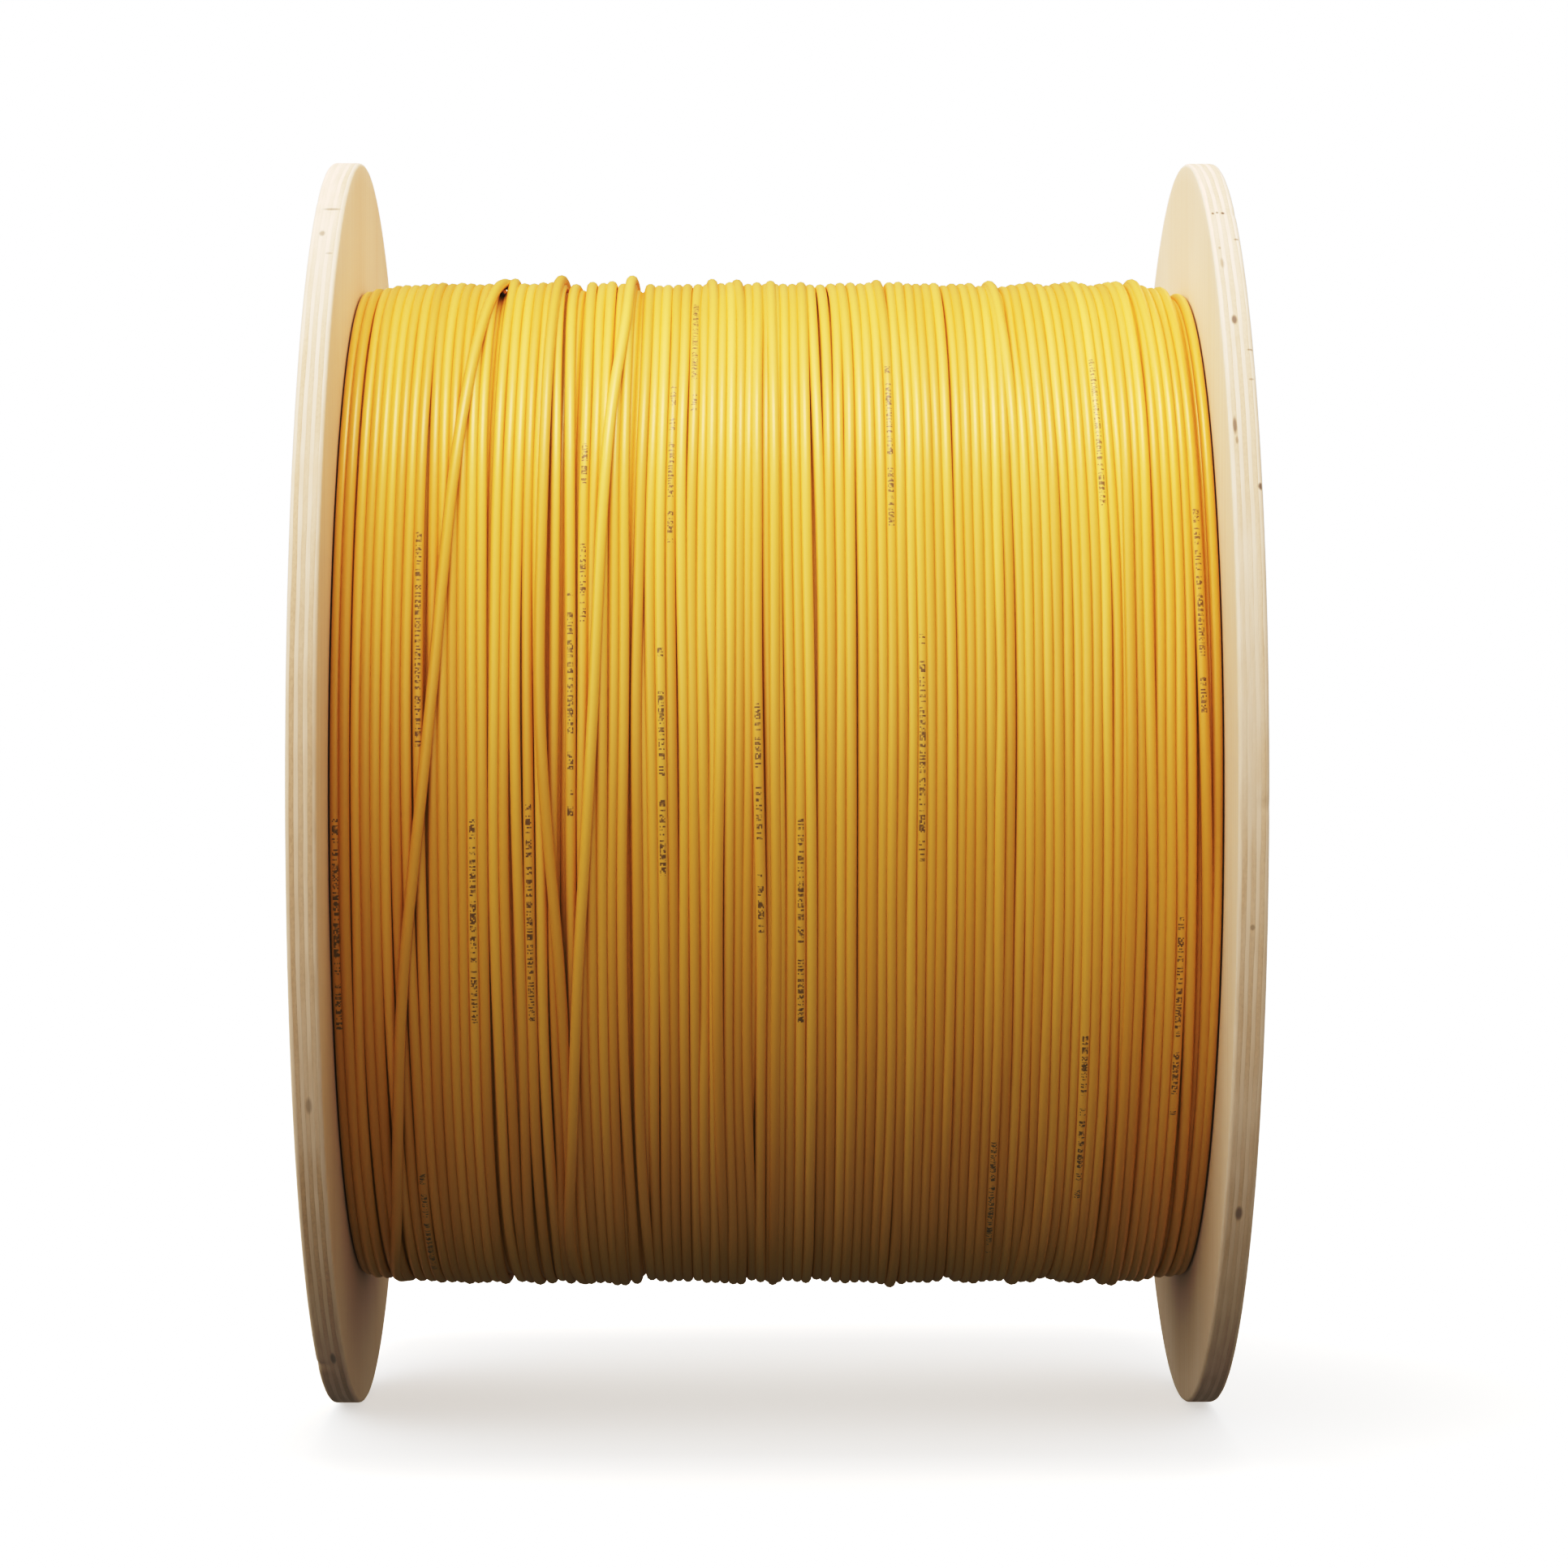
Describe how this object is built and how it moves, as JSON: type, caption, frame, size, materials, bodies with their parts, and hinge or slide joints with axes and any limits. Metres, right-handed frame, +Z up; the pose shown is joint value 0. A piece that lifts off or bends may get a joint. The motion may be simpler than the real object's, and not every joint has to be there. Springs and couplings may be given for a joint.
{
  "type": "wire spool",
  "caption": "Plywood spool wound nearly full with thin yellow cable: round flanges clamped to a fibreboard barrel by threaded rods, with a bushed arbor hole.",
  "frame": {"origin": "centre of the spool: on the axis of its arbor hole, halfway between the flanges", "axes": "+X along the axis towards the right flange, +Z up, -Y towards a viewer who sees the winding from the front"},
  "size_m": [0.282, 0.4, 0.4],
  "materials": {
    "plywood": "sanded, unfinished birch plywood with its plies showing on the rim",
    "fibreboard": "spiral-wound brown fibreboard, matte",
    "bush_plastic": "moulded black plastic, satin",
    "zinc_steel": "bright zinc plate, slightly dulled",
    "cable_jacket": null
  },
  "bodies": {
    "root": {"flange_left": "plywood", "flange_right": "plywood", "locating_disc_left": "plywood", "locating_disc_right": "plywood", "barrel_tube": "fibreboard", "arbor_bush_left": "bush_plastic", "arbor_bush_right": "bush_plastic", "tie_rod_1": "zinc_steel", "tie_rod_2": "zinc_steel", "tie_rod_3": "zinc_steel", "tie_rod_4": "zinc_steel", "washer_left_1": "zinc_steel", "washer_left_2": "zinc_steel", "washer_left_3": "zinc_steel", "washer_left_4": "zinc_steel", "washer_right_1": "zinc_steel", "washer_right_2": "zinc_steel", "washer_right_3": "zinc_steel", "washer_right_4": "zinc_steel", "sleeve_nut_left_1": "zinc_steel", "sleeve_nut_left_2": "zinc_steel", "sleeve_nut_left_3": "zinc_steel", "sleeve_nut_left_4": "zinc_steel", "sleeve_nut_right_1": "zinc_steel", "sleeve_nut_right_2": "zinc_steel", "sleeve_nut_right_3": "zinc_steel", "sleeve_nut_right_4": "zinc_steel", "cable_winding": "cable_jacket"}
  },
  "joints": []
}
